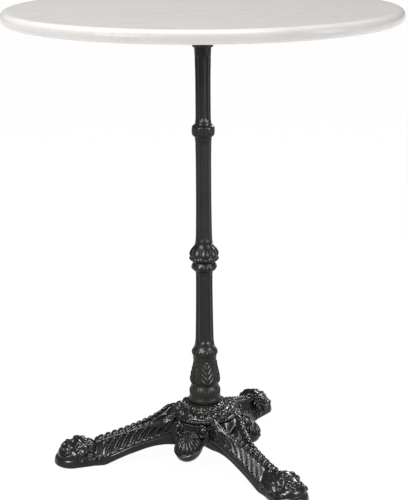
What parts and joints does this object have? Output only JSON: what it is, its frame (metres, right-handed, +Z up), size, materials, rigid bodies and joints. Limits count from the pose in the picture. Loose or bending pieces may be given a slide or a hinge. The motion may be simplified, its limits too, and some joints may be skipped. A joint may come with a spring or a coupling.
{
  "type": "bistro table",
  "caption": "Round marble-topped bistro table: a bullnosed top on a slim ornamented cast-iron column with a three-legged paw-footed base.",
  "frame": {"origin": "centre of the base on the floor, under the middle of the top", "axes": "+Z up along the column; one leg points along -X and the other two at 60 and 300 degrees from +X"},
  "size_m": [0.5999, 0.6, 0.72],
  "materials": {
    "marble": "polished white marble with faint grey veins",
    "black_iron": "satin black paint on rough cast iron",
    "zinc_steel": "zinc-plated",
    "insert_brass": "turned",
    "black_rubber": "matt",
    "glide_plastic": "moulded nylon"
  },
  "bodies": {
    "root": {"marble_top": "marble", "stone_inserts": "insert_brass", "stone_pads": "black_rubber", "top_spider": "black_iron", "spider_washers": "zinc_steel", "spider_screws": "zinc_steel", "upper_shaft": "black_iron", "middle_shaft": "black_iron", "lower_shaft": "black_iron", "column_foot": "black_iron", "hub": "black_iron", "pendant_1": "black_iron", "pendant_2": "black_iron", "pendant_3": "black_iron", "leg_1": "black_iron", "leg_2": "black_iron", "leg_3": "black_iron", "leg_bolts": "zinc_steel", "leg_washers": "zinc_steel", "glide_1": "glide_plastic", "glide_2": "glide_plastic", "glide_3": "glide_plastic", "tie_rod": "zinc_steel", "bottom_washer": "zinc_steel", "bottom_nut": "zinc_steel", "top_washer": "zinc_steel", "top_nut": "zinc_steel"}
  },
  "joints": []
}
